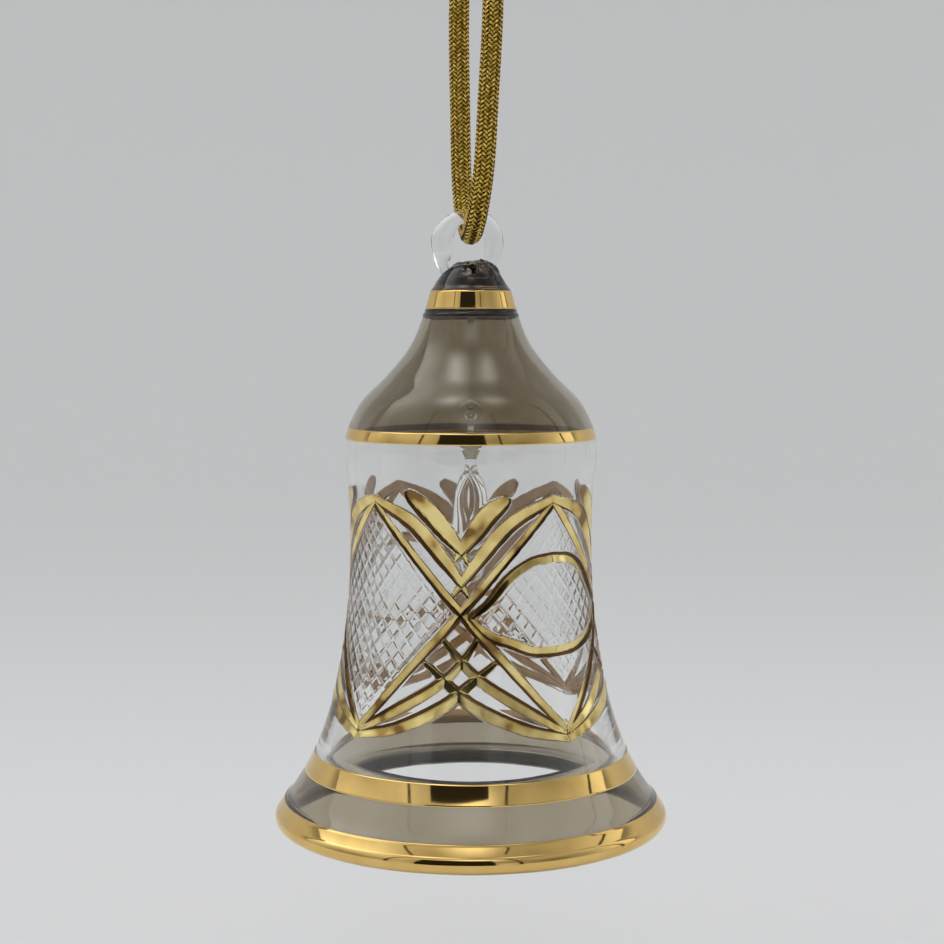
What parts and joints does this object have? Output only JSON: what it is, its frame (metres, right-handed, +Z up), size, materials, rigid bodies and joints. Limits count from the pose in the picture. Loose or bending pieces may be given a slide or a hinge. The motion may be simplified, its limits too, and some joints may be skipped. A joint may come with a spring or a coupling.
{
  "type": "glass bell",
  "caption": "Blown glass hanging bell with gilded bands and cut pattern, free glass clapper on a link, and a braided cord loop.",
  "frame": {"origin": "hanging point: the inside top of the cord loop, just under its knot, on the bell's axis", "axes": "+Z up along the bell's axis, -Y to the front where a crossing of the cut pattern faces, +X to the right"},
  "size_m": [0.0664, 0.0664, 0.1712],
  "materials": {
    "clear_glass": "polished clear glass",
    "smoked_glass": "polished smoke-grey glass",
    "dark_glass": "polished, nearly opaque smoke-grey glass",
    "gilding": "bright fired gilding",
    "gold_cord": "braided metallic thread"
  },
  "bodies": {
    "hanger": {"hanging_cord": "gold_cord", "cord_knot": "gold_cord", "cord_tail_left": "gold_cord", "cord_tail_right": "gold_cord"},
    "bell": {"hanging_ring": "clear_glass", "crown_knob": "dark_glass", "shoulder_glass": "smoked_glass", "waist_glass": "clear_glass", "skirt_glass": "smoked_glass", "neck_band": "gilding", "shoulder_band": "gilding", "skirt_band": "gilding", "rim_band": "gilding", "gilt_cross_1": "gilding", "gilt_cross_2": "gilding", "gilt_cross_3": "gilding", "gilt_cross_4": "gilding", "crown_eye": "clear_glass"},
    "link": {"clapper_link": "clear_glass"},
    "clapper": {"clapper_loop": "clear_glass", "clapper_drop": "clear_glass"}
  },
  "joints": [
    {"name": "bell_sway", "type": "hinge", "parent": "hanger", "child": "bell", "pos_m": [0, 0, -0.05185], "axis": [0, 1, 0], "range_deg": [-30, 30]},
    {"name": "link_swing", "type": "hinge", "parent": "bell", "child": "link", "pos_m": [0, 0, -0.0794], "axis": [1, 0, 0], "range_deg": [-12, 12]},
    {"name": "clapper_swing", "type": "hinge", "parent": "link", "child": "clapper", "pos_m": [0, 0, -0.08185], "axis": [0, 1, 0], "range_deg": [-34, 34]}
  ]
}
